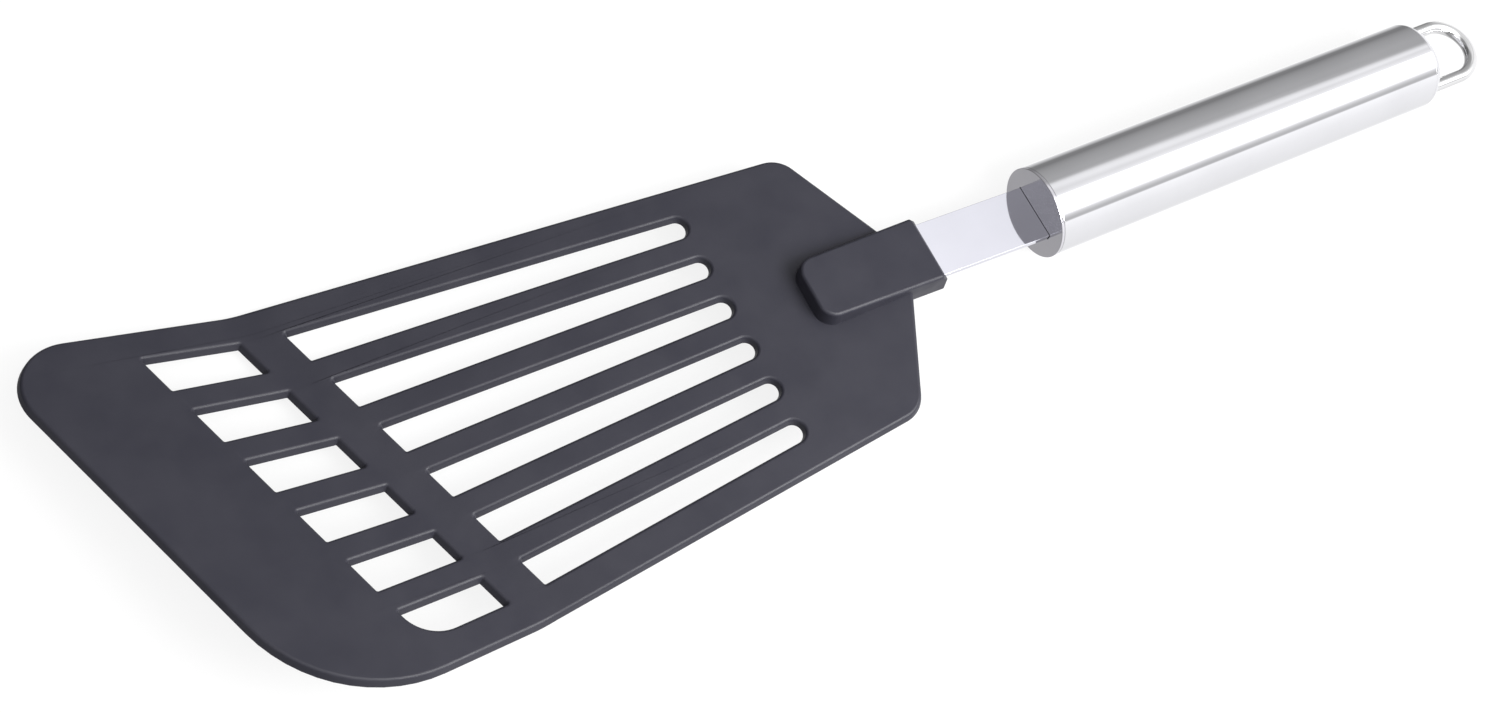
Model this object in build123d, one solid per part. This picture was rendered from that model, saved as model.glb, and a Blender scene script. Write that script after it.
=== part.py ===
from build123d import *
import math
import os

# Grill spatula: a slotted nylon head moulded over a steel strap, whose other
# end is held in a hollow round steel handle with a wire hanging loop.
#
# The pieces are drawn in the head's own frame, in millimetres: the origin is
# where the crease crosses the middle of the top face, +X runs back towards the
# handle, +Z stands off the flat rear part of the head. At the end the whole
# tool is laid on a table the way it comes to rest: on its handle and on one
# end of the crease.

# ---- head: outline, seen flat, at half the sheet's thickness ----
SHEET = 2.1  # thickness of the nylon sheet
DRAFT = 15.0  # degrees that every wall of the sheet leans out towards the underside
SHEET_OFFSET = (0.28, 0.35)  # from the crease's middle to the outline's own origin
SLANT = 19.7  # degrees that front edge, crease and slot fronts run off square
LIFT = 17.5  # degrees that the front part is bent up
FRONT_X = -50.9  # front edge, measured along the middle
HALF_WIDTH = 44.3  # from the middle to a side, level with the crease
FLARE = 0.0923  # how much a side moves out per mm towards the front
SHOULDER_APEX_X = 126.2  # where the two rear shoulders would meet
SHOULDER_ANGLE = 64.7  # degrees from the middle line to a shoulder
FAR_FRONT_RADIUS = 11.0
NEAR_FRONT_RADIUS = 32.0
SHOULDER_RADIUS = 7.0

# ---- head: slots ----
ROWS = 6  # slots side by side, so there are five bars between them
BAR_WIDTH = 5.85
BAR_STEP = 1.8  # degrees from one bar to the next
BARS_MEET_X = 424.3  # the bars point at this place on the middle line
BORDER = 7.27  # left outside the outermost slots
LONG_SLOT_X = (5.35, 83.15)
REAR_LEAN = 0.017  # how much further back a slot ends per mm towards the near side
SHORT_SLOT_X = (-23.8, -3.85)
SLOT_CORNER = 0.35
NEAR_SLOT_RADIUS = 8.8  # follows the large front corner of the outline
FULL_ROUND = 0.49  # share of a slot's width used as radius of its round end

# ---- head: socket that grips the strap ----
# Seen from the side its top and underside run down towards the handle like the strap.
SOCKET_FRONT_X = 98.7  # at the sheet's top face
SOCKET_FRONT_Z = (-2.0, 4.4)
SOCKET_REAR_BOTTOM = (132.3, -6.2)
SOCKET_REAR_TOP = (130.3, 1.35)
SOCKET_WIDTH = 16.5  # at the sheet's top face
SOCKET_DRAFT = 8.0  # degrees that the walls lean in above the sheet
SOCKET_FRONT_RADIUS = 4.5
SOCKET_EDGE = 0.7

# ---- strap ----
STRAP_WIDTH = 13.8
STRAP_THICKNESS = 1.6
STRAP_START_X = 103.0
STRAP_SLOPE = 6.9  # degrees down towards the handle
STRAP_BEND_RADIUS = 6.0
STRAP_IN_HANDLE = 56.0
ANCHOR_HOLE_X = (112.0, 121.0)
ANCHOR_HOLE_RADIUS = 2.5

# ---- handle ----
HANDLE_X = 161.4  # front face of the handle
HANDLE_Z = -5.26
HANDLE_SLOPE = 3.34  # degrees down towards its rear end
HANDLE_RADIUS = 11.0
HANDLE_LENGTH = 117.5
WALL = 0.8
END_ROUND = 1.75
FLANGE = 0.8  # thickness of the front cap's rim
PRESS_GAP = 0.03  # left between pressed pieces
SPIGOT_DEPTH = 6.0
CAP_WALL = 1.0
REAR_LAND = 0.2  # straight part of the rear cap's rim
STRAP_SLIT_GAP = 0.15
SPACER_Z = 48.0
SPACER_THICKNESS = 3.0

# ---- hanging loop ----
WIRE_RADIUS = 1.6
LOOP_RADIUS = 7.6  # to the wire's middle
LOOP_STRAIGHT = 11.0
LEG_INSIDE = 4.5
LEG_GAP = 0.03

THROUGH = 20.0  # length of a cutter that passes right through

# ---- how the tool lies on a table: handle level, rolled onto the head's long side ----
LYING_ROLL = -4.67  # degrees about the handle

SLANT_TAN = math.tan(math.radians(SLANT))
CREASE_DIRECTION = Vector(-SLANT_TAN, 1, 0).normalized()
CREASE = Axis((0, 0, 0), CREASE_DIRECTION)
HANDLE_DIRECTION = Vector(1, 0, -math.tan(math.radians(HANDLE_SLOPE))).normalized()
HANDLE_FRAME = Plane(origin=(HANDLE_X, 0, HANDLE_Z), x_dir=(0, 1, 0), z_dir=HANDLE_DIRECTION)
BORE_RADIUS = HANDLE_RADIUS - WALL


def on_slanted(middle_x, line):
    """Where the slanted line through (middle_x, 0) meets y = slope * x + offset."""
    slope, offset = line
    x = (middle_x - SLANT_TAN * offset) / (1 + SLANT_TAN * slope)
    return (x, slope * x + offset)


def side_line(side, inset=0.0):
    """A side of the outline: side is +1 or -1, inset moves it towards the middle."""
    return (-side * FLARE, side * (HALF_WIDTH - inset))


def bar_line(number, side):
    """One edge of a bar, numbered from -2 to 2; the outermost are the borders."""
    if abs(number) == ROWS // 2:
        return side_line(math.copysign(1, number), BORDER)
    angle = math.radians(number * BAR_STEP)
    offset = math.tan(angle) * BARS_MEET_X + side * BAR_WIDTH / 2 / math.cos(angle)
    return (-math.tan(angle), offset)


def filled(points, radii):
    """A face from its corners and the radius of each."""
    return make_face(FilletPolyline(*points, radius=radii, close=True))


def head_outline():
    shoulder_slope = math.tan(math.radians(SHOULDER_ANGLE))
    shoulder_x = (shoulder_slope * SHOULDER_APEX_X - HALF_WIDTH) / (shoulder_slope - FLARE)
    shoulder_y = HALF_WIDTH - FLARE * shoulder_x
    neck_y = SOCKET_WIDTH / 2 - 1
    neck_x = SHOULDER_APEX_X - neck_y / shoulder_slope
    points = [
        on_slanted(FRONT_X, side_line(1)),
        on_slanted(FRONT_X, side_line(-1)),
        (shoulder_x, -shoulder_y),
        (neck_x, -neck_y),
        (neck_x, neck_y),
        (shoulder_x, shoulder_y),
    ]
    radii = [FAR_FRONT_RADIUS, NEAR_FRONT_RADIUS, SHOULDER_RADIUS, 0, 0, SHOULDER_RADIUS]
    return filled(points, radii)


def long_slot(upper, lower):
    """A slot behind the crease: slanted front, round rear end."""
    front, middle_rear = LONG_SLOT_X
    rear = middle_rear - REAR_LEAN * (upper[1] + lower[1]) / 2
    upper_rear = (rear, upper[0] * rear + upper[1])
    lower_rear = (rear, lower[0] * rear + lower[1])
    end_radius = FULL_ROUND * (upper_rear[1] - lower_rear[1])
    points = [on_slanted(front, upper), on_slanted(front, lower), lower_rear, upper_rear]
    return filled(points, [SLOT_CORNER, SLOT_CORNER, end_radius, end_radius])


def short_slot(upper, lower, corner):
    """A slot in the lifted front part; corner is the radius nearest the big outline corner."""
    front, rear = SHORT_SLOT_X
    points = [
        on_slanted(front, upper),
        on_slanted(front, lower),
        on_slanted(rear, lower),
        on_slanted(rear, upper),
    ]
    return filled(points, [SLOT_CORNER / 2, corner, SLOT_CORNER, SLOT_CORNER])


def flat_head():
    """The slotted sheet before it is bent, top face at z = 0."""
    face = head_outline()
    for row in range(ROWS):
        upper = bar_line(ROWS // 2 - row, -1)
        lower = bar_line(ROWS // 2 - row - 1, 1)
        last = row == ROWS - 1
        face -= long_slot(upper, lower)
        face -= short_slot(upper, lower, NEAR_SLOT_RADIUS if last else SLOT_CORNER)
    face = Pos(*SHEET_OFFSET, -SHEET / 2) * face
    return extrude(face, SHEET / 2, taper=DRAFT) + extrude(face, -SHEET / 2, taper=-DRAFT)


def bent_head():
    """The sheet with its front part turned up about the crease."""
    flat = flat_head()
    across = CREASE_DIRECTION.cross(Vector(0, 0, 1)).rotate(CREASE, LIFT / 2)
    mitre = Plane(origin=(0, 0, 0), z_dir=across)
    rear = split(flat, bisect_by=mitre, keep=Keep.TOP)
    front = split(flat.rotate(CREASE, LIFT), bisect_by=mitre, keep=Keep.BOTTOM)
    return rear + front


def socket_side():
    """The socket seen from the side, in the X-Z plane."""
    bottom, top = SOCKET_FRONT_Z
    points = [(SOCKET_FRONT_X, bottom), SOCKET_REAR_BOTTOM, SOCKET_REAR_TOP, (SOCKET_FRONT_X, top)]
    return Plane.XZ * make_face(Polyline(*points, close=True))


def socket():
    """The block round the strap's front end, standing above and below the sheet."""
    front, back, half = SOCKET_FRONT_X, SOCKET_FRONT_X + 2 * THROUGH, SOCKET_WIDTH / 2
    corners = [(front, half), (front, -half), (back, -half), (back, half)]
    plan = filled(corners, [SOCKET_FRONT_RADIUS, SOCKET_FRONT_RADIUS, 0, 0])
    block = extrude(plan, THROUGH / 2, taper=SOCKET_DRAFT) + extrude(plan, -THROUGH / 2)
    block &= extrude(socket_side(), SOCKET_WIDTH, both=True)
    top = max(block.faces(), key=lambda face: face.normal_at().Z)
    return fillet(top.edges(), SOCKET_EDGE)


def strap_path():
    """The strap's middle line in the X-Z plane, front end first."""
    start_z = HANDLE_Z + (HANDLE_X - STRAP_START_X) * math.tan(math.radians(STRAP_SLOPE))
    run = STRAP_IN_HANDLE * HANDLE_DIRECTION
    points = [
        (STRAP_START_X, start_z),
        (HANDLE_X, HANDLE_Z),
        (HANDLE_X + run.X, HANDLE_Z + run.Z),
    ]
    return Plane.XZ * FilletPolyline(*points, radius=STRAP_BEND_RADIUS)


def strap():
    path = strap_path()
    section = Plane(origin=path @ 0, x_dir=(0, 1, 0), z_dir=path % 0)
    body = sweep(section * Rectangle(STRAP_WIDTH, STRAP_THICKNESS), path=path)
    for x in ANCHOR_HOLE_X:
        body -= Pos(x, 0, 0) * Cylinder(ANCHOR_HOLE_RADIUS, THROUGH)
    return body


def turner_head():
    return bent_head() + socket() - strap()


def turned(points, end_radius=0.0):
    """A solid of revolution on the handle's line, from (radius, distance) corners.

    end_radius rounds the corner that stands furthest out and furthest back."""
    outer = max(points, key=lambda corner: corner[0] + corner[1])
    radii = [end_radius if corner == outer else 0 for corner in points]
    outline = make_face(Plane.XZ * FilletPolyline(*points, radius=radii, close=True))
    return HANDLE_FRAME * revolve(outline, Axis.Z)


def strap_slit(distance):
    """The slit through which the strap passes a disc of the handle."""
    width = STRAP_WIDTH + 2 * STRAP_SLIT_GAP
    height = STRAP_THICKNESS + 2 * STRAP_SLIT_GAP
    return HANDLE_FRAME * Pos(0, 0, distance) * Box(width, height, THROUGH)


def front_cap():
    """Drawn cup: a flush rim in front of the tube, and a spigot inside it."""
    spigot = BORE_RADIUS - PRESS_GAP
    points = [
        (0, 0),
        (HANDLE_RADIUS, 0),
        (HANDLE_RADIUS, FLANGE),
        (spigot, FLANGE),
        (spigot, SPIGOT_DEPTH),
        (spigot - CAP_WALL, SPIGOT_DEPTH),
        (spigot - CAP_WALL, CAP_WALL),
        (0, CAP_WALL),
    ]
    return turned(points) - strap_slit(0)


def handle_tube():
    front, rear = FLANGE, HANDLE_LENGTH - END_ROUND - REAR_LAND
    points = [(BORE_RADIUS, front), (HANDLE_RADIUS, front), (HANDLE_RADIUS, rear), (BORE_RADIUS, rear)]
    return turned(points)


def rear_cap():
    """Drawn cup with a rounded rim, pressed into the tube's rear end."""
    rim = HANDLE_LENGTH - END_ROUND - REAR_LAND
    inner_face = HANDLE_LENGTH - CAP_WALL
    spigot = BORE_RADIUS - PRESS_GAP
    points = [
        (0, HANDLE_LENGTH),
        (HANDLE_RADIUS, HANDLE_LENGTH),
        (HANDLE_RADIUS, rim),
        (spigot, rim),
        (spigot, HANDLE_LENGTH - SPIGOT_DEPTH),
        (spigot - CAP_WALL, HANDLE_LENGTH - SPIGOT_DEPTH),
        (spigot - CAP_WALL, inner_face),
        (0, inner_face),
    ]
    cap = turned(points, END_ROUND)
    for side in (-1, 1):
        hole = Cylinder(WIRE_RADIUS + LEG_GAP, THROUGH)
        cap -= HANDLE_FRAME * Pos(side * LOOP_RADIUS, 0, HANDLE_LENGTH) * hole
    return cap


def strap_spacer():
    """Disc in the middle of the tube that steadies the strap's inner end."""
    disc = Pos(0, 0, SPACER_Z) * Cylinder(BORE_RADIUS - PRESS_GAP, SPACER_THICKNESS)
    return HANDLE_FRAME * disc - strap_slit(SPACER_Z)


def hanging_loop():
    """Round wire bent to a U, its legs passing through the rear cap."""
    start = HANDLE_LENGTH - LEG_INSIDE
    turn = HANDLE_LENGTH + LOOP_STRAIGHT
    leg_out = Line((LOOP_RADIUS, 0, start), (LOOP_RADIUS, 0, turn))
    top = (0, 0, turn + LOOP_RADIUS)
    bow = ThreePointArc((LOOP_RADIUS, 0, turn), top, (-LOOP_RADIUS, 0, turn))
    leg_back = Line((-LOOP_RADIUS, 0, turn), (-LOOP_RADIUS, 0, start))
    section = Plane(origin=(LOOP_RADIUS, 0, start), z_dir=(0, 0, 1)) * Circle(WIRE_RADIUS)
    return HANDLE_FRAME * sweep(section, path=leg_out + bow + leg_back)


def lying_down(parts):
    """Lays the handle level, rolls the tool until the head touches the table too,
    and puts the origin on the table under the middle of the tool."""
    level = Axis(HANDLE_FRAME.origin, (0, 1, 0))
    handle_line = Axis(HANDLE_FRAME.origin, (1, 0, 0))
    laid = {}
    for name, shape in parts.items():
        laid[name] = shape.rotate(level, -HANDLE_SLOPE).rotate(handle_line, LYING_ROLL)
    boxes = [shape.bounding_box() for shape in laid.values()]
    low = [min(tuple(box.min)[i] for box in boxes) for i in range(3)]
    high = [max(tuple(box.max)[i] for box in boxes) for i in range(3)]
    shift = Pos(-(low[0] + high[0]) / 2, -(low[1] + high[1]) / 2, -low[2])
    return {name: shift * shape for name, shape in laid.items()}


parts = {
    "turner_head": turner_head(),
    "strap": strap(),
    "front_cap": front_cap(),
    "handle_tube": handle_tube(),
    "strap_spacer": strap_spacer(),
    "rear_cap": rear_cap(),
    "hanging_loop": hanging_loop(),
}

os.makedirs("parts", exist_ok=True)
for name, shape in lying_down(parts).items():
    export_step(shape, f"parts/{name}.step")
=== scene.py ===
import math

import bmesh
import bpy
from mathutils import Euler, Matrix, Vector


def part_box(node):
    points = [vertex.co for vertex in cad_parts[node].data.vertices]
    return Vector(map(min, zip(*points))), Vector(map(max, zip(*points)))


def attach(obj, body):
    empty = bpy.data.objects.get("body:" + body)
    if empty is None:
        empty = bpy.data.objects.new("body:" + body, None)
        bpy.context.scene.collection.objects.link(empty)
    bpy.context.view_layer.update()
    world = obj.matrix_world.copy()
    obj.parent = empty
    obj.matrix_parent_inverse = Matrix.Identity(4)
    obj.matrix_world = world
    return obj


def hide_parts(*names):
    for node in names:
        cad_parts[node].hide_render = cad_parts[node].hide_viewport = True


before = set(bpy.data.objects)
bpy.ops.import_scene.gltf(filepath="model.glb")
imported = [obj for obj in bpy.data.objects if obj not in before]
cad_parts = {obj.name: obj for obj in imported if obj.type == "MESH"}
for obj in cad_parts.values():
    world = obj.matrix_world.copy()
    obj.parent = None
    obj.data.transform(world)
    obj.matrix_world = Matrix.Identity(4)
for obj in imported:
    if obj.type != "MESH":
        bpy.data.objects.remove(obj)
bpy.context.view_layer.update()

# Grill spatula. Each piece is drawn in millimetres in the head's own frame: origin
# where the crease crosses the middle of the top face, +X back towards the handle,
# +Z off the flat rear part of the head. TO_ROW then lays it where the CAD lies.

# ---- head ----
SHEET = 2.1
DRAFT = math.tan(math.radians(15))
SHEET_OFFSET = Vector((0.28, 0.35, 0))
SLANT = math.radians(19.7)
LIFT = math.radians(17.5)
CREASE_RADIUS = 14.0
CREASE_CUTS = 16
FRONT_X = -50.9
HALF_WIDTH = 44.3
FLARE = 0.0923
SHOULDER_APEX_X = 126.2
SHOULDER_SLOPE = math.tan(math.radians(64.7))
FAR_FRONT_RADIUS = 11.0
NEAR_FRONT_RADIUS = 32.0
SHOULDER_RADIUS = 7.0
NECK_INSET = 1.0
HEAD_EDGE = 0.6
HEAD_EDGE_STEPS = 5
UNDERSIDE_SHARPNESS = 0.9

# ---- slots ----
ROWS = 6
BAR_WIDTH = 5.85
BAR_STEP = math.radians(1.8)
BARS_MEET_X = 424.3
BORDER = 7.27
LONG_SLOT_X = (5.35, 83.15)
REAR_LEAN = 0.017
SHORT_SLOT_X = (-23.8, -3.85)
SLOT_CORNER = 0.35
NEAR_SLOT_RADIUS = 8.8
FULL_ROUND = 0.499

# ---- socket ----
SOCKET_FRONT_X = 98.7
SOCKET_FRONT_Z = (-2.0, 4.4)
SOCKET_REAR_BOTTOM = Vector((132.3, -6.2))
SOCKET_REAR_TOP = Vector((130.3, 1.35))
SOCKET_WIDTH = 16.5
SOCKET_DRAFT = math.tan(math.radians(8))
SOCKET_FRONT_RADIUS = 4.5
SOCKET_REAR_RADIUS = 0.5
SOCKET_EDGE = 0.7
SOCKET_EDGE_STEPS = 5
SOCKET_ARC_STEPS = 15

# ---- strap ----
STRAP_WIDTH = 13.8
STRAP_THICKNESS = 1.6
STRAP_START_X = 103.0
STRAP_SLOPE = math.radians(6.9)
STRAP_BEND_RADIUS = 6.0
STRAP_IN_HANDLE = 56.0
STRAP_EDGE = 0.1
POCKET_GAP = 0.05

# ---- handle ----
HANDLE_FRONT = Vector((161.4, 0, -5.26))
HANDLE_SLOPE = math.radians(3.34)
HANDLE_RADIUS = 11.0
HANDLE_LENGTH = 117.5
WALL = 0.8
END_ROUND = 1.75
FLANGE = 0.8
PRESS_GAP = 0.03
SPIGOT_DEPTH = 6.0
CAP_WALL = 1.0
REAR_LAND = 0.2
SLIT_GAP = 0.15
SEAM_EDGE = 0.15
RIM_EDGE = 0.03
BORE_RADIUS = HANDLE_RADIUS - WALL
REAR_RIM = HANDLE_LENGTH - END_ROUND - REAR_LAND

# ---- hanging loop ----
WIRE_RADIUS = 1.6
LOOP_RADIUS = 7.6
LOOP_STRAIGHT = 11.0
LEG_INSIDE = 4.5
LEG_GAP = 0.03
LEG_STEPS = 12
TURN_STEPS = 48
WIRE_SIDES = 40
WIRE_END_EDGE = 0.3

# ---- how the tool lies on the table ----
LYING_ROLL = math.radians(-4.67)

# ---- meshes ----
MM = 0.001
WELD = 1e-4
CUT_TOLERANCE = 1e-5
SLIVER = 1e-3
FLAT_LIMIT = 1e-3
ARC_STEP = math.radians(6)
MIN_ARC_STEPS = 3
LATHE_STEPS = 192
HOLE_SIDES = 48
HOLE_EDGE = 0.01
HOLE_OVERRUN = 1.0
SHARP_ANGLE = math.radians(35)
NORMAL_WEIGHT = 100


def to_row():
    """From the head's frame in millimetres to the row's frame in metres."""
    low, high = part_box("front_cap")
    disc_centre = Vector((low.x, (low.y + high.y) / 2, (low.z + high.z) / 2))
    turn = Matrix.Rotation(LYING_ROLL, 4, "X") @ Matrix.Rotation(-HANDLE_SLOPE, 4, "Y")
    return Matrix.Translation(disc_centre) @ Matrix.Scale(MM, 4) @ turn @ Matrix.Translation(-HANDLE_FRONT)


def handle_frame():
    """Z along the handle, X across the strap's width, origin on the handle's front face."""
    along = Vector((math.cos(HANDLE_SLOPE), 0, -math.sin(HANDLE_SLOPE)))
    across = Vector((0, 1, 0))
    columns = (across, along.cross(across), along)
    return Matrix.Translation(HANDLE_FRONT) @ Matrix(columns).transposed().to_4x4()


TO_ROW = to_row()
HANDLE_FRAME = handle_frame()


# ---------------------------------------------------------------- mesh helpers
def rounded(corners, radii, steps_each=None):
    """Corner points of a closed outline, with each corner turned into an arc."""
    points = []
    count = len(corners)
    for i, radius in enumerate(radii):
        before, corner, after = (Vector(corners[(i + k) % count]) for k in (-1, 0, 1))
        if radius <= 0:
            points.append(corner)
            continue
        back = (before - corner).normalized()
        ahead = (after - corner).normalized()
        half = back.angle(ahead) / 2
        centre = corner + (back + ahead).normalized() * radius / math.sin(half)
        start = corner + back * radius / math.tan(half) - centre
        end = corner + ahead * radius / math.tan(half) - centre
        steps = steps_each or max(MIN_ARC_STEPS, math.ceil((math.pi - 2 * half) / ARC_STEP))
        for step in range(steps + 1):
            points.append(centre + start.slerp(end, step / steps) * radius)
    return points


def link(name, mesh):
    piece = bpy.data.objects.new(name, mesh)
    bpy.context.scene.collection.objects.link(piece)
    return piece


def baked(piece):
    """Applies the piece's modifiers."""
    graph = bpy.context.evaluated_depsgraph_get()
    mesh = bpy.data.meshes.new_from_object(piece.evaluated_get(graph))
    piece.modifiers.clear()
    piece.data = mesh


def slab(name, outlines, low, high, edge, edge_steps):
    """A plate between two heights, from an outline and its holes, with rounded edges."""
    curve = bpy.data.curves.new(name, "CURVE")
    curve.dimensions = "2D"
    curve.fill_mode = "BOTH"
    curve.extrude = (high - low) / 2 - edge
    curve.bevel_depth = edge
    curve.bevel_resolution = edge_steps
    curve.offset = -edge
    for outline in outlines:
        spline = curve.splines.new("POLY")
        spline.points.add(len(outline) - 1)
        for point, place in zip(spline.points, outline):
            point.co = (place[0], place[1], 0, 1)
        spline.use_cyclic_u = True
    drawn = link(name + "_curve", curve)
    graph = bpy.context.evaluated_depsgraph_get()
    mesh = bpy.data.meshes.new_from_object(drawn.evaluated_get(graph))
    bpy.data.objects.remove(drawn)
    mesh.transform(Matrix.Translation((0, 0, (low + high) / 2)))
    work = bmesh.new()
    work.from_mesh(mesh)
    bmesh.ops.remove_doubles(work, verts=work.verts, dist=WELD)
    bmesh.ops.recalc_face_normals(work, faces=work.faces)
    work.to_mesh(mesh)
    work.free()
    return link(name, mesh)


def rings_to_piece(name, rings, closed):
    """Skins a row of equal rings; closed joins the last to the first, else the ends are capped."""
    work = bmesh.new()
    rows = [[work.verts.new(point) for point in ring] for ring in rings]
    size = len(rings[0])
    pairs = list(zip(rows, rows[1:] + rows[:1])) if closed else list(zip(rows, rows[1:]))
    for near, far in pairs:
        for i in range(size):
            j = (i + 1) % size
            work.faces.new((near[i], near[j], far[j], far[i]))
    if not closed:
        work.faces.new(rows[0])
        work.faces.new(rows[-1])
    bmesh.ops.remove_doubles(work, verts=work.verts, dist=WELD)
    bmesh.ops.recalc_face_normals(work, faces=work.faces)
    mesh = bpy.data.meshes.new(name)
    work.to_mesh(mesh)
    work.free()
    return link(name, mesh)


def lathe(name, corners, radii):
    """A solid of revolution on the handle's line, from (radius, distance) corners."""
    profile = rounded(corners, radii)
    rings = []
    for step in range(LATHE_STEPS):
        angle = 2 * math.pi * step / LATHE_STEPS
        rings.append([(r * math.cos(angle), r * math.sin(angle), z) for r, z in profile])
    piece = rings_to_piece(name, rings, closed=True)
    piece.data.transform(HANDLE_FRAME)
    return piece


def swept(name, path, side, section, end_edge=0.0):
    """Carries a closed section along a flat path; side is the normal of the path's plane."""
    side = Vector(side)
    rings = []
    last = len(path) - 1
    for i, place in enumerate(path):
        along = (path[min(i + 1, last)] - path[max(i - 1, 0)]).normalized()
        up = side.cross(along)
        rings.append([place + side * u + up * v for u, v in section])
    if end_edge:
        for end, step in ((0, 1), (last, -1)):
            away = (path[end] - path[end + step]).normalized()
            cap = [point + away * end_edge for point in rings[end]]
            middle = path[end] + away * end_edge
            small = 1 - end_edge / max(abs(u) for u, v in section)
            cap = [middle + (point - middle) * small for point in cap]
            rings = [cap] + rings if end == 0 else rings + [cap]
    return rings_to_piece(name, rings, closed=False)


def cut(piece, other, operation="DIFFERENCE"):
    """Joins or subtracts another piece, which is used up."""
    boolean = piece.modifiers.new("cut", "BOOLEAN")
    boolean.operation = operation
    boolean.solver = "EXACT"
    boolean.object = other
    baked(piece)
    bpy.data.objects.remove(other)
    return piece


def placed(piece, node):
    """Lays the piece in the row's frame, smooths it, and lets it stand for its CAD node."""
    piece.data.transform(TO_ROW)
    piece.data.shade_smooth()
    piece.data.set_sharp_from_angle(angle=SHARP_ANGLE)
    smooth = piece.modifiers.new("normals", "WEIGHTED_NORMAL")
    smooth.keep_sharp = True
    smooth.weight = NORMAL_WEIGHT
    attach(piece, "root")
    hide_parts(node)
    return piece


# ---------------------------------------------------------------- head
def on_slanted(middle_x, line):
    """Where the slanted line through (middle_x, 0) meets y = slope * x + offset."""
    slope, offset = line
    x = (middle_x - math.tan(SLANT) * offset) / (1 + math.tan(SLANT) * slope)
    return (x, slope * x + offset)


def side_line(side, inset=0.0):
    return (-side * FLARE, side * (HALF_WIDTH - inset))


def bar_line(number, side):
    """One edge of a bar, numbered from -2 to 2; the outermost are the borders."""
    if abs(number) == ROWS // 2:
        return side_line(math.copysign(1, number), BORDER)
    angle = number * BAR_STEP
    return (-math.tan(angle), math.tan(angle) * BARS_MEET_X + side * BAR_WIDTH / 2 / math.cos(angle))


def head_outline():
    shoulder_x = (SHOULDER_SLOPE * SHOULDER_APEX_X - HALF_WIDTH) / (SHOULDER_SLOPE - FLARE)
    shoulder_y = HALF_WIDTH - FLARE * shoulder_x
    neck_y = SOCKET_WIDTH / 2 - NECK_INSET
    neck_x = SHOULDER_APEX_X - neck_y / SHOULDER_SLOPE
    corners = [
        on_slanted(FRONT_X, side_line(1)),
        on_slanted(FRONT_X, side_line(-1)),
        (shoulder_x, -shoulder_y),
        (neck_x, -neck_y),
        (neck_x, neck_y),
        (shoulder_x, shoulder_y),
    ]
    return rounded(corners, [FAR_FRONT_RADIUS, NEAR_FRONT_RADIUS, SHOULDER_RADIUS, 0, 0, SHOULDER_RADIUS])


def long_slot(upper, lower):
    front, middle_rear = LONG_SLOT_X
    rear = middle_rear - REAR_LEAN * (upper[1] + lower[1]) / 2
    upper_rear = (rear, upper[0] * rear + upper[1])
    lower_rear = (rear, lower[0] * rear + lower[1])
    round_end = FULL_ROUND * (upper_rear[1] - lower_rear[1])
    corners = [on_slanted(front, upper), on_slanted(front, lower), lower_rear, upper_rear]
    return rounded(corners, [SLOT_CORNER, SLOT_CORNER, round_end, round_end])


def short_slot(upper, lower, corner):
    front, rear = SHORT_SLOT_X
    corners = [
        on_slanted(front, upper),
        on_slanted(front, lower),
        on_slanted(rear, lower),
        on_slanted(rear, upper),
    ]
    return rounded(corners, [SLOT_CORNER / 2, corner, SLOT_CORNER, SLOT_CORNER])


def head_slots():
    slots = []
    for row in range(ROWS):
        upper = bar_line(ROWS // 2 - row, -1)
        lower = bar_line(ROWS // 2 - row - 1, 1)
        slots.append(long_slot(upper, lower))
        slots.append(short_slot(upper, lower, NEAR_SLOT_RADIUS if row == ROWS - 1 else SLOT_CORNER))
    return slots


def underside_rounding(height):
    """How far the rounding at the sheet's underside has drawn a wall in at this height."""
    below = min(max(HEAD_EDGE - SHEET - height, 0), HEAD_EDGE)
    return HEAD_EDGE - math.sqrt(HEAD_EDGE ** 2 - below ** 2)


def lean_walls(piece):
    """Leans every wall out towards the underside, whose edge is left sharper than the top's."""
    verts = piece.data.vertices
    normals = [Vector((vert.normal.x, vert.normal.y, 0)) for vert in verts]
    for vert, outward in zip(verts, normals):
        if outward.length > FLAT_LIMIT:
            spread = UNDERSIDE_SHARPNESS * underside_rounding(vert.co.z)
            vert.co += outward.normalized() * (spread - DRAFT * (vert.co.z + SHEET / 2))
        vert.co += SHEET_OFFSET


def bend(piece):
    """Turns the front part up about the crease, over a short arc."""
    forward = Vector((-math.cos(SLANT), -math.sin(SLANT), 0))
    reach = CREASE_RADIUS * math.tan(LIFT / 2)
    work = bmesh.new()
    work.from_mesh(piece.data)
    for step in range(CREASE_CUTS + 1):
        distance = reach * (2 * step / CREASE_CUTS - 1)
        geometry = work.verts[:] + work.edges[:] + work.faces[:]
        place = forward * distance
        bmesh.ops.bisect_plane(work, geom=geometry, plane_co=place, plane_no=forward, dist=CUT_TOLERANCE)
    for vert in work.verts:
        distance = vert.co.dot(forward)
        if distance <= -reach:
            continue
        angle = min((distance + reach) / (2 * reach), 1) * LIFT
        beyond = max(distance - reach, 0)
        radius = CREASE_RADIUS - vert.co.z
        ahead = -reach + radius * math.sin(angle) + beyond * math.cos(angle)
        height = CREASE_RADIUS - radius * math.cos(angle) + beyond * math.sin(angle)
        vert.co += forward * (ahead - distance)
        vert.co.z = height
    bmesh.ops.dissolve_degenerate(work, dist=SLIVER, edges=work.edges)
    work.to_mesh(piece.data)
    work.free()


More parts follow.
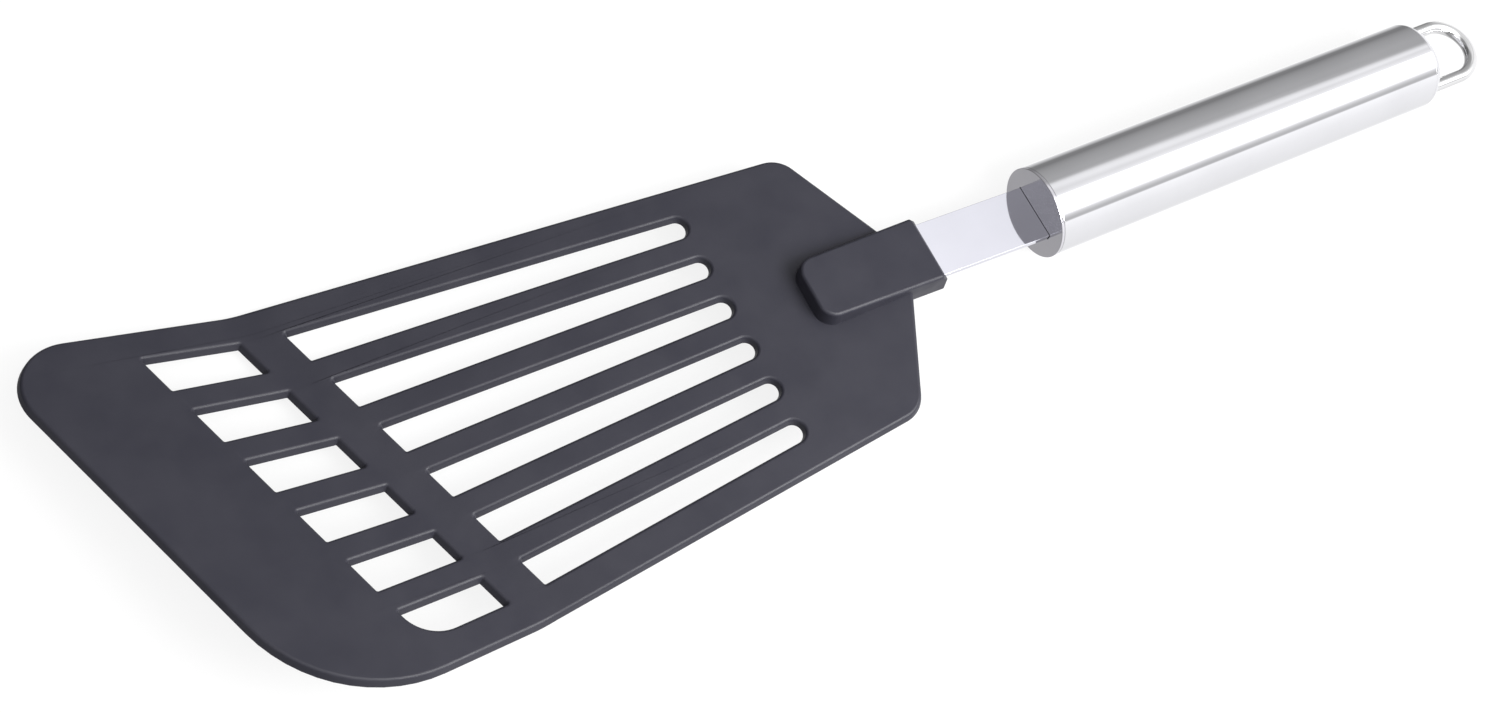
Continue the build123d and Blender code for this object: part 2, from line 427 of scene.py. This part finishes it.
def socket_ring(drop, rise, inset):
    """The socket's outline at drop below its top, or at rise above its underside.

    The inset rounds the front and the sides; the rear edges stay sharp.
    """
    if rise is None:
        front_z, rear_z = SOCKET_FRONT_Z[1] - drop, SOCKET_REAR_TOP.y - drop
        lean = SOCKET_DRAFT
    else:
        front_z, rear_z = SOCKET_FRONT_Z[0] + rise, SOCKET_REAR_BOTTOM.y + rise
        lean = 0
    share = (SOCKET_REAR_TOP.y - rear_z) / (SOCKET_REAR_TOP.y - SOCKET_REAR_BOTTOM.y)
    front = SOCKET_FRONT_X + lean * front_z + inset
    rear = SOCKET_REAR_TOP.lerp(SOCKET_REAR_BOTTOM, share).x
    front_half = SOCKET_WIDTH / 2 - lean * front_z - inset
    rear_half = SOCKET_WIDTH / 2 - lean * rear_z - inset
    front_radius = SOCKET_FRONT_RADIUS - lean * front_z - inset
    corners = [(front, front_half), (front, -front_half), (rear, -rear_half), (rear, rear_half)]
    radii = [front_radius, front_radius, SOCKET_REAR_RADIUS, SOCKET_REAR_RADIUS]
    slope = (rear_z - front_z) / (rear - front)
    return [(x, y, front_z + slope * (x - front)) for x, y in rounded(corners, radii, SOCKET_ARC_STEPS)]


def socket_block():
    """Stands above and below the sheet; its top and underside run down like the strap."""
    quarter = [math.pi / 2 * step / SOCKET_EDGE_STEPS for step in range(SOCKET_EDGE_STEPS + 1)]
    edge = [(SOCKET_EDGE * (1 - math.cos(angle)), SOCKET_EDGE * (1 - math.sin(angle))) for angle in quarter]
    rings = [socket_ring(drop, None, inset) for drop, inset in edge]
    waist = socket_ring(0, -SOCKET_FRONT_Z[0], 0)
    rings.append([(x, y, -SHEET / 2) for x, y, z in waist])
    rings += [socket_ring(0, rise, inset) for rise, inset in reversed(edge)]
    return rings_to_piece("socket_block", rings, closed=False)


def turner_head():
    outlines = [head_outline()] + head_slots()
    head = slab("turner_head_moulding", outlines, -SHEET, 0, HEAD_EDGE, HEAD_EDGE_STEPS)
    lean_walls(head)
    bend(head)
    cut(head, socket_block(), "UNION")
    return cut(head, strap_solid("pocket", POCKET_GAP))


# ---------------------------------------------------------------- strap
def strap_path():
    """The strap's middle line, front end first, with the bend at the handle as an arc."""
    start_z = HANDLE_FRONT.z + (HANDLE_FRONT.x - STRAP_START_X) * math.tan(STRAP_SLOPE)
    inner_end = HANDLE_FRAME @ Vector((0, 0, STRAP_IN_HANDLE))
    corners = [(STRAP_START_X, start_z), (HANDLE_FRONT.x, HANDLE_FRONT.z), (inner_end.x, inner_end.z)]
    line = rounded(corners, [0, STRAP_BEND_RADIUS, 0])
    return [Vector((x, 0, z)) for x, z in line]


def strap_solid(name, gap=0.0):
    half = STRAP_WIDTH / 2 + gap
    thick = STRAP_THICKNESS / 2 + gap
    corners = [(half, thick), (-half, thick), (-half, -thick), (half, -thick)]
    return swept(name, strap_path(), (0, 1, 0), rounded(corners, [STRAP_EDGE] * 4))


# ---------------------------------------------------------------- handle
def front_cap():
    spigot = BORE_RADIUS - PRESS_GAP
    corners = [
        (0, 0),
        (HANDLE_RADIUS, 0),
        (HANDLE_RADIUS, FLANGE),
        (spigot, FLANGE),
        (spigot, SPIGOT_DEPTH),
        (spigot - CAP_WALL, SPIGOT_DEPTH),
        (spigot - CAP_WALL, CAP_WALL),
        (0, CAP_WALL),
    ]
    cap = lathe("front_cap_cup", corners, [0, SEAM_EDGE, SEAM_EDGE, 0, 0, 0, 0, 0])
    half = STRAP_WIDTH / 2 + SLIT_GAP
    thick = STRAP_THICKNESS / 2 + SLIT_GAP
    slit_corners = [(half, thick), (-half, thick), (-half, -thick), (half, -thick)]
    slit_outline = rounded(slit_corners, [STRAP_EDGE] * 4)
    slit = slab("slit", [slit_outline], -CAP_WALL, 2 * CAP_WALL, HOLE_EDGE, 0)
    slit.data.transform(HANDLE_FRAME)
    return cut(cap, slit)


def handle_tube():
    corners = [
        (BORE_RADIUS, FLANGE),
        (HANDLE_RADIUS, FLANGE),
        (HANDLE_RADIUS, REAR_RIM),
        (BORE_RADIUS, REAR_RIM),
    ]
    return lathe("handle_tube_shell", corners, [0, SEAM_EDGE, RIM_EDGE, 0])


def rear_cap():
    inner_face = HANDLE_LENGTH - CAP_WALL
    spigot = BORE_RADIUS - PRESS_GAP
    corners = [
        (0, HANDLE_LENGTH),
        (HANDLE_RADIUS, HANDLE_LENGTH),
        (HANDLE_RADIUS, REAR_RIM),
        (spigot, REAR_RIM),
        (spigot, HANDLE_LENGTH - SPIGOT_DEPTH),
        (spigot - CAP_WALL, HANDLE_LENGTH - SPIGOT_DEPTH),
        (spigot - CAP_WALL, inner_face),
        (0, inner_face),
    ]
    cap = lathe("rear_cap_cup", corners, [0, END_ROUND, RIM_EDGE, 0, 0, 0, 0, 0])
    for side in (-1, 1):
        bore = [(side * LOOP_RADIUS + x, y) for x, y in circle(WIRE_RADIUS + LEG_GAP, HOLE_SIDES)]
        low, high = inner_face - HOLE_OVERRUN, HANDLE_LENGTH + HOLE_OVERRUN
        hole = slab("leg_hole", [bore], low, high, HOLE_EDGE, 0)
        hole.data.transform(HANDLE_FRAME)
        cut(cap, hole)
    return cap


def circle(radius, steps):
    angles = [2 * math.pi * step / steps for step in range(steps)]
    return [(radius * math.cos(angle), radius * math.sin(angle)) for angle in angles]


def hanging_loop():
    turn = HANDLE_LENGTH + LOOP_STRAIGHT
    leg = LOOP_STRAIGHT + LEG_INSIDE
    straight = [turn - leg * (1 - step / LEG_STEPS) for step in range(LEG_STEPS)]
    path = [Vector((LOOP_RADIUS, 0, z)) for z in straight]
    for step in range(TURN_STEPS + 1):
        angle = math.pi * step / TURN_STEPS
        path.append(Vector((LOOP_RADIUS * math.cos(angle), 0, turn + LOOP_RADIUS * math.sin(angle))))
    path += [Vector((-LOOP_RADIUS, 0, z)) for z in reversed(straight)]
    section = circle(WIRE_RADIUS, WIRE_SIDES)
    loop = swept("hanging_loop_wire", path, (0, 1, 0), section, WIRE_END_EDGE)
    loop.data.transform(HANDLE_FRAME)
    return loop


# ---------------------------------------------------------------- materials
# Noise scales are per metre and bump heights in metres. Ramps are (noise, value) stops.
MOTTLE_SCALE = 90
NYLON_TONES = [(0.35, (0.018, 0.0178, 0.0258)), (0.65, (0.0225, 0.0222, 0.0305))]
GLOSS_SCALE = 260
NYLON_ROUGHNESS = [(0.3, (0.42,)), (0.7, (0.5,))]
NYLON_SPECULAR = 0.28
GRAIN_SCALE, GRAIN_HEIGHT = 4200, 0.00002
WAVE_SCALE, WAVE_HEIGHT = 300, 0.00003
NYLON_BUMP = 0.5
CLOUD_SCALE = 60
CLOUD_DULLING = 0.95
POLISH_ROUGHNESS = (0.8, 1.3)
POLISH_HEIGHT, POLISH_BUMP = 0.000002, 0.3
FLOOR_SCALE = 3
FLOOR_TONES = [(0.3, (0.095, 0.095, 0.095)), (0.7, (0.1, 0.1, 0.1))]
FLOOR_ROUGHNESS = 0.9
FLOOR_GLOW = 0.85
# Each steel's colour, roughness and noise scale along the row's three directions.
STRAP_STEEL = ((0.82, 0.82, 0.9), 0.05, (30, 1500, 1500))
TUBE_STEEL = ((0.8, 0.8, 0.83), 0.03, (1800, 60, 60))
CAP_STEEL = ((0.76, 0.75, 0.8), 0.11, (900, 900, 900))
WIRE_STEEL = ((0.8, 0.8, 0.81), 0.12, (900, 900, 900))


class Nodes:
    """A few short ways to wire up a material."""

    def __init__(self, name):
        self.material = bpy.data.materials.new(name)
        self.material.use_nodes = True
        self.tree = self.material.node_tree
        self.shader = self.tree.nodes["Principled BSDF"]
        self.place = self.tree.nodes.new("ShaderNodeTexCoord").outputs["Object"]

    def stretched(self, scale):
        mapping = self.tree.nodes.new("ShaderNodeMapping")
        mapping.inputs["Scale"].default_value = scale
        self.tree.links.new(self.place, mapping.inputs["Vector"])
        return mapping.outputs["Vector"]

    def noise(self, scale, detail, place=None):
        noise = self.tree.nodes.new("ShaderNodeTexNoise")
        noise.inputs["Scale"].default_value = scale
        noise.inputs["Detail"].default_value = detail
        self.tree.links.new(place or self.place, noise.inputs["Vector"])
        return noise.outputs["Fac"]

    def ramp(self, value, stops):
        ramp = self.tree.nodes.new("ShaderNodeValToRGB")
        while len(ramp.color_ramp.elements) < len(stops):
            ramp.color_ramp.elements.new(0.5)
        for element, (position, colour) in zip(ramp.color_ramp.elements, stops):
            element.position = position
            element.color = (*colour, 1) if len(colour) == 3 else (colour[0],) * 3 + (1,)
        self.tree.links.new(value, ramp.inputs["Fac"])
        return ramp.outputs["Color"]

    def bump(self, height, distance, strength, below=None):
        bump = self.tree.nodes.new("ShaderNodeBump")
        bump.inputs["Distance"].default_value = distance
        bump.inputs["Strength"].default_value = strength
        self.tree.links.new(height, bump.inputs["Height"])
        if below:
            self.tree.links.new(below, bump.inputs["Normal"])
        return bump.outputs["Normal"]

    def to_shader(self, value, socket):
        self.tree.links.new(value, self.shader.inputs[socket])


def nylon():
    """Matt charcoal moulded nylon: fine grain, faint mottling, a slightly uneven gloss."""
    nodes = Nodes("charcoal_nylon")
    nodes.to_shader(nodes.ramp(nodes.noise(MOTTLE_SCALE, 4), NYLON_TONES), "Base Color")
    nodes.to_shader(nodes.ramp(nodes.noise(GLOSS_SCALE, 5), NYLON_ROUGHNESS), "Roughness")
    grain = nodes.bump(nodes.noise(GRAIN_SCALE, 2), GRAIN_HEIGHT, NYLON_BUMP)
    waves = nodes.bump(nodes.noise(WAVE_SCALE, 2), WAVE_HEIGHT, NYLON_BUMP, grain)
    nodes.to_shader(waves, "Normal")
    nodes.shader.inputs["Specular IOR Level"].default_value = NYLON_SPECULAR
    return nodes.material


def polished_steel(name, colour, roughness, stretch):
    """Polished stainless steel; unequal stretches draw its faint grain out into lines."""
    nodes = Nodes(name)
    lines = nodes.noise(1, 3, nodes.stretched(stretch))
    cloud = nodes.noise(CLOUD_SCALE, 3)
    dull = [channel * CLOUD_DULLING for channel in colour]
    nodes.to_shader(nodes.ramp(cloud, [(0.3, dull), (0.7, colour)]), "Base Color")
    smooth, rough = (roughness * share for share in POLISH_ROUGHNESS)
    nodes.to_shader(nodes.ramp(lines, [(0.3, (smooth,)), (0.7, (rough,))]), "Roughness")
    nodes.to_shader(nodes.bump(lines, POLISH_HEIGHT, POLISH_BUMP), "Normal")
    nodes.shader.inputs["Metallic"].default_value = 1.0
    return nodes.material


def floor_material():
    nodes = Nodes("pale_floor")
    nodes.to_shader(nodes.ramp(nodes.noise(FLOOR_SCALE, 2), FLOOR_TONES), "Base Color")
    nodes.shader.inputs["Roughness"].default_value = FLOOR_ROUGHNESS
    nodes.shader.inputs["Emission Color"].default_value = (1, 1, 1, 1)
    nodes.shader.inputs["Emission Strength"].default_value = FLOOR_GLOW
    return nodes.material


# ---------------------------------------------------------------- studio
# Places and sizes in metres, the camera's turn in degrees, its lens in millimetres.
CAMERA_AT = (-0.20443, -0.114059, 0.425323)
CAMERA_TURN = (21.6851, -13.7661, -27.1032)
CAMERA_LENS = 50.312
SENSOR_WIDTH = 36
NEAREST_SEEN = 0.01
FLOOR_HALF = 3.0
BACKDROP_RADIUS = 2.8
BACKDROP_SPAN = (-0.01, 4.0)
BACKDROP_SIDES = 96
BACKDROP_COLOUR = (0.95, 0.95, 0.955, 1)
HALF_TURN = 180
# Brightness of the surroundings by the angle round the handle: 0 level on the far
# side, 90 overhead, 180 level on the near side, negative below the table.
ROUND_THE_HANDLE = [
    (-180, 1.1), (-114, 0.95), (-90, 1.15), (-75, 1.3), (-56, 0.95), (-38, 0.6), (-25, 0.26),
    (-12, 0.245), (-1, 0.333), (7, 0.378), (14, 0.407), (27, 0.443), (39, 0.475), (45, 0.48),
    (50, 0.56), (56, 0.9), (60, 1.03), (66, 1.06), (76, 0.93), (82, 1.0), (88, 1.15),
    (93, 3.6), (128, 3.6), (133, 1.6), (139, 0.93), (144, 0.72), (149, 0.6), (152.5, 0.62),
    (155.5, 1.24), (163, 1.18), (180, 1.1),
]
# Share of it by how far a direction points along the handle: -1 to the head, 1 to the loop.
ALONG_THE_HANDLE = [(-1, 0.35), (-0.38, 0.35), (-0.25, 0.8), (0.25, 0.85), (0.5, 1.0), (1, 1.0)]
# How much of the lean below the bands take, by their angle, and the lean in degrees.
LEANING_BANDS = [(-180, 0), (42, 0), (58, 1), (70, 0.95), (80, 0.3), (100, 0.2), (125, 0), (180, 0)]
LEAN_BETWEEN = (0.49, 0.66)
LEAN = (-5, 14)
# Beyond the loop the room is bright all round.
LOOP_END_BETWEEN = (0.68, 0.85)
LOOP_END_LIGHT = 1.15
KEY_AT = (0.1, -0.22, 0.28)
KEY_AIM = (-0.05, 0.0, 0.0)
KEY_SIZE = 0.25
KEY_POWER = 2.2


def camera():
    data = bpy.data.cameras.new("camera")
    data.lens = CAMERA_LENS
    data.sensor_width = SENSOR_WIDTH
    data.clip_start = NEAREST_SEEN
    seen_from = bpy.data.objects.new("camera", data)
    seen_from.location = CAMERA_AT
    seen_from.rotation_euler = Euler([math.radians(angle) for angle in CAMERA_TURN], "XYZ")
    bpy.context.scene.collection.objects.link(seen_from)
    bpy.context.scene.camera = seen_from


def seen_only(piece):
    """The piece shows in the picture but neither lights nor shades the tool."""
    piece.visible_diffuse = False
    piece.visible_glossy = False
    piece.visible_transmission = False
    piece.visible_shadow = False


def floor():
    mesh = bpy.data.meshes.new("floor")
    half = FLOOR_HALF
    corners = [(-half, -half, 0), (half, -half, 0), (half, half, 0), (-half, half, 0)]
    mesh.from_pydata(corners, [], [(0, 1, 2, 3)])
    plane = link("floor", mesh)
    mesh.materials.append(floor_material())
    plane.visible_glossy = False


def backdrop():
    """A plain pale wall all round, standing just inside the floor's edge."""
    foot, top = BACKDROP_SPAN
    low = [(BACKDROP_RADIUS * x, BACKDROP_RADIUS * y, foot) for x, y in circle(1, BACKDROP_SIDES)]
    high = [(x, y, top) for x, y, z in low]
    pairs = [(i, (i + 1) % BACKDROP_SIDES) for i in range(BACKDROP_SIDES)]
    faces = [(i, j, BACKDROP_SIDES + j, BACKDROP_SIDES + i) for i, j in pairs]
    mesh = bpy.data.meshes.new("backdrop")
    mesh.from_pydata(low + high, [], faces)
    material = bpy.data.materials.new("pale_wall")
    material.use_nodes = True
    shader = material.node_tree.nodes["Principled BSDF"]
    shader.inputs["Base Color"].default_value = (0, 0, 0, 1)
    shader.inputs["Emission Color"].default_value = BACKDROP_COLOUR
    shader.inputs["Emission Strength"].default_value = 1.0
    mesh.materials.append(material)
    wall = link("backdrop", mesh)
    seen_only(wall)


def math_node(tree, operation, first, second=None):
    node = tree.nodes.new("ShaderNodeMath")
    node.operation = operation
    tree.links.new(first, node.inputs[0])
    if second is not None:
        tree.links.new(second, node.inputs[1])
    return node.outputs["Value"]


def map_range(tree, value, spans):
    """Moves a value from one span to another, which is 0 to 1 unless two more limits follow."""
    node = tree.nodes.new("ShaderNodeMapRange")
    for socket, limit in zip(("From Min", "From Max", "To Min", "To Max"), spans):
        node.inputs[socket].default_value = limit
    tree.links.new(value, node.inputs["Value"])
    return node.outputs["Result"]


def ramp_of(tree, value, low, high, stops, strongest):
    """Turns a value between low and high into brightness, from (value, brightness) stops."""
    ramp = tree.nodes.new("ShaderNodeValToRGB")
    while len(ramp.color_ramp.elements) < len(stops):
        ramp.color_ramp.elements.new(0.5)
    for element, (place, light) in zip(ramp.color_ramp.elements, stops):
        element.position = (place - low) / (high - low)
        element.color = (light / strongest,) * 3 + (1,)
    tree.links.new(map_range(tree, value, (low, high)), ramp.inputs["Fac"])
    return ramp.outputs["Color"]


def handle_bands(tree, split, strongest):
    """Brightness round the handle, with the lean that some of the bands take along it."""
    angle = math_node(tree, "ARCTAN2", split.outputs["Z"], split.outputs["Y"])
    degrees = math_node(tree, "DEGREES", angle)
    taking = ramp_of(tree, degrees, -HALF_TURN, HALF_TURN, LEANING_BANDS, 1)
    lean = map_range(tree, split.outputs["X"], LEAN_BETWEEN + LEAN)
    band = math_node(tree, "SUBTRACT", degrees, math_node(tree, "MULTIPLY", taking, lean))
    return ramp_of(tree, band, -HALF_TURN, HALF_TURN, ROUND_THE_HANDLE, strongest)


def dimmed_along(tree, bands, split):
    """Multiplies the bands by their share along the handle."""
    both = tree.nodes.new("ShaderNodeMix")
    both.data_type = "RGBA"
    both.blend_type = "MULTIPLY"
    both.inputs["Factor"].default_value = 1.0
    tree.links.new(bands, both.inputs["A"])
    tree.links.new(ramp_of(tree, split.outputs["X"], -1, 1, ALONG_THE_HANDLE, 1), both.inputs["B"])
    return both.outputs["Result"]


def bright_loop_end(tree, light, split, strongest):
    """Gives way to an even brightness beyond the loop."""
    room = tree.nodes.new("ShaderNodeMix")
    room.data_type = "RGBA"
    room.inputs["B"].default_value = (LOOP_END_LIGHT / strongest,) * 3 + (1,)
    tree.links.new(map_range(tree, split.outputs["X"], LOOP_END_BETWEEN), room.inputs["Factor"])
    tree.links.new(light, room.inputs["A"])
    return room.outputs["Result"]


def studio_light():
    """A soft room: bright overhead, darker towards the head's end and low on the far side."""
    world = bpy.data.worlds.new("studio")
    bpy.context.scene.world = world
    world.use_nodes = True
    tree = world.node_tree
    place = tree.nodes.new("ShaderNodeTexCoord")
    split = tree.nodes.new("ShaderNodeSeparateXYZ")
    tree.links.new(place.outputs["Generated"], split.inputs["Vector"])
    strongest = max(light for angle, light in ROUND_THE_HANDLE)
    light = dimmed_along(tree, handle_bands(tree, split, strongest), split)
    light = bright_loop_end(tree, light, split, strongest)
    background = tree.nodes["Background"]
    tree.links.new(light, background.inputs["Color"])
    background.inputs["Strength"].default_value = strongest


def key_light():
    """A soft lamp above the handle's near side, so that the head darkens towards its front."""
    light = bpy.data.lights.new("key", "AREA")
    light.shape = "DISK"
    light.size = KEY_SIZE
    light.energy = KEY_POWER
    lamp = bpy.data.objects.new("key", light)
    lamp.location = KEY_AT
    lamp.visible_camera = False
    towards = Vector(KEY_AIM) - Vector(KEY_AT)
    lamp.rotation_euler = towards.to_track_quat("-Z", "Y").to_euler()
    bpy.context.scene.collection.objects.link(lamp)


# ---------------------------------------------------------------- the tool
def dressed(piece, material):
    piece.data.materials.clear()
    piece.data.materials.append(material)


camera()
floor()
backdrop()
studio_light()
key_light()
bpy.context.scene.view_settings.view_transform = "Standard"

strap_steel = polished_steel("strap_steel", *STRAP_STEEL)
tube_steel = polished_steel("tube_steel", *TUBE_STEEL)
cap_steel = polished_steel("cap_steel", *CAP_STEEL)
wire_steel = polished_steel("wire_steel", *WIRE_STEEL)

dressed(placed(turner_head(), "turner_head"), nylon())
dressed(placed(strap_solid("strap_ribbon"), "strap"), strap_steel)
dressed(placed(front_cap(), "front_cap"), cap_steel)
dressed(placed(handle_tube(), "handle_tube"), tube_steel)
dressed(placed(rear_cap(), "rear_cap"), tube_steel)
dressed(placed(hanging_loop(), "hanging_loop"), wire_steel)
dressed(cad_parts["strap_spacer"], nylon())
